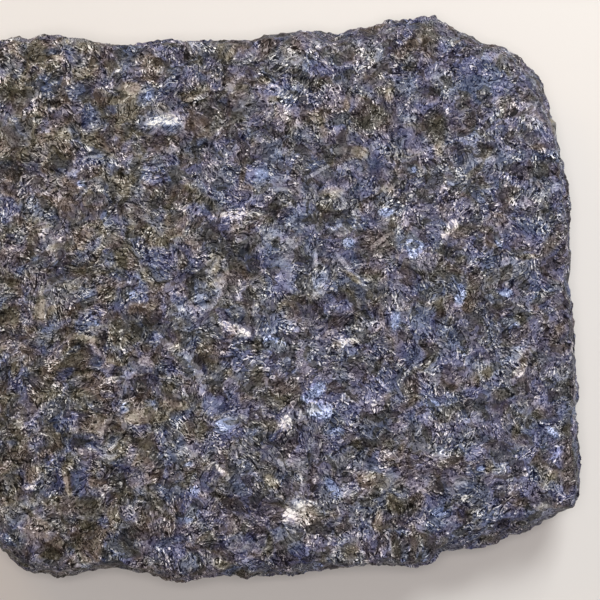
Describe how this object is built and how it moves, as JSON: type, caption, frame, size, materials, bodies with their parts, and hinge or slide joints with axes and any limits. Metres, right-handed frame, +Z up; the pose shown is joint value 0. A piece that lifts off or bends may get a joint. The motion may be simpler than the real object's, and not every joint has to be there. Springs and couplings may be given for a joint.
{
  "type": "larvikite slab",
  "caption": "Broken hand-sized slab of coarse blue-grey larvikite with a rough flat top, hackly sides and a flat resting spot.",
  "frame": {"origin": "middle of the slab's outline, on the surface it rests on", "axes": "+Z up out of the rough top face, +X along the slab's longer side, +Y across towards its back edge"},
  "size_m": [0.1438, 0.1302, 0.0258],
  "materials": {
    "larvikite": "rough broken feldspar rock, dark blue-grey with brown and pale crystals, blue flashes and bright cleavage faces"
  },
  "bodies": {
    "root": {"larvikite_slab": "larvikite"}
  },
  "joints": []
}
